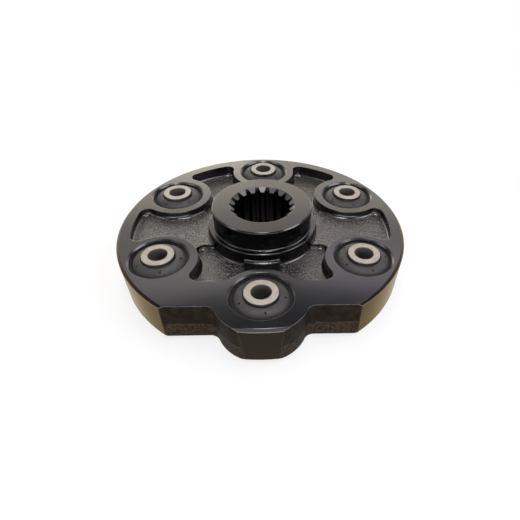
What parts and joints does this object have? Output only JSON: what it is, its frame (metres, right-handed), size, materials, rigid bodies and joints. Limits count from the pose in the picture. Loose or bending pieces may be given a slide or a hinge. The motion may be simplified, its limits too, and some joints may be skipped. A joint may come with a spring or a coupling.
{
  "type": "rotor drive coupling",
  "caption": "Black cast disc coupling with an internally splined hub, cast relief pockets, rubber bushings round the rim and one bushing on a squared-off lobe.",
  "frame": {"origin": "on the shaft axis, in the plane of the lower ends of the six bushing sleeves, which the coupling stands on", "axes": "+Z along the shaft axis towards the splined hub, -Y towards the squared-off index lobe"},
  "size_m": [0.28, 0.28, 0.0638],
  "materials": {
    "black_casting": "satin black paint over iron, machined on the faces, hub and rim and sand cast in the pockets",
    "shell_steel": "dark oiled steel",
    "bushing_rubber": "matt moulded rubber",
    "plated_steel": "pale zinc plate"
  },
  "bodies": {
    "root": {"coupling_body": "black_casting", "shell_1": "shell_steel", "shell_2": "shell_steel", "shell_3": "shell_steel", "shell_4": "shell_steel", "shell_5": "shell_steel", "shell_6": "shell_steel", "rubber_1": "bushing_rubber", "rubber_2": "bushing_rubber", "rubber_3": "bushing_rubber", "rubber_4": "bushing_rubber", "rubber_5": "bushing_rubber", "rubber_6": "bushing_rubber", "sleeve_1": "plated_steel", "sleeve_2": "plated_steel", "sleeve_3": "plated_steel", "sleeve_4": "plated_steel", "sleeve_5": "plated_steel", "sleeve_6": "plated_steel"}
  },
  "joints": []
}
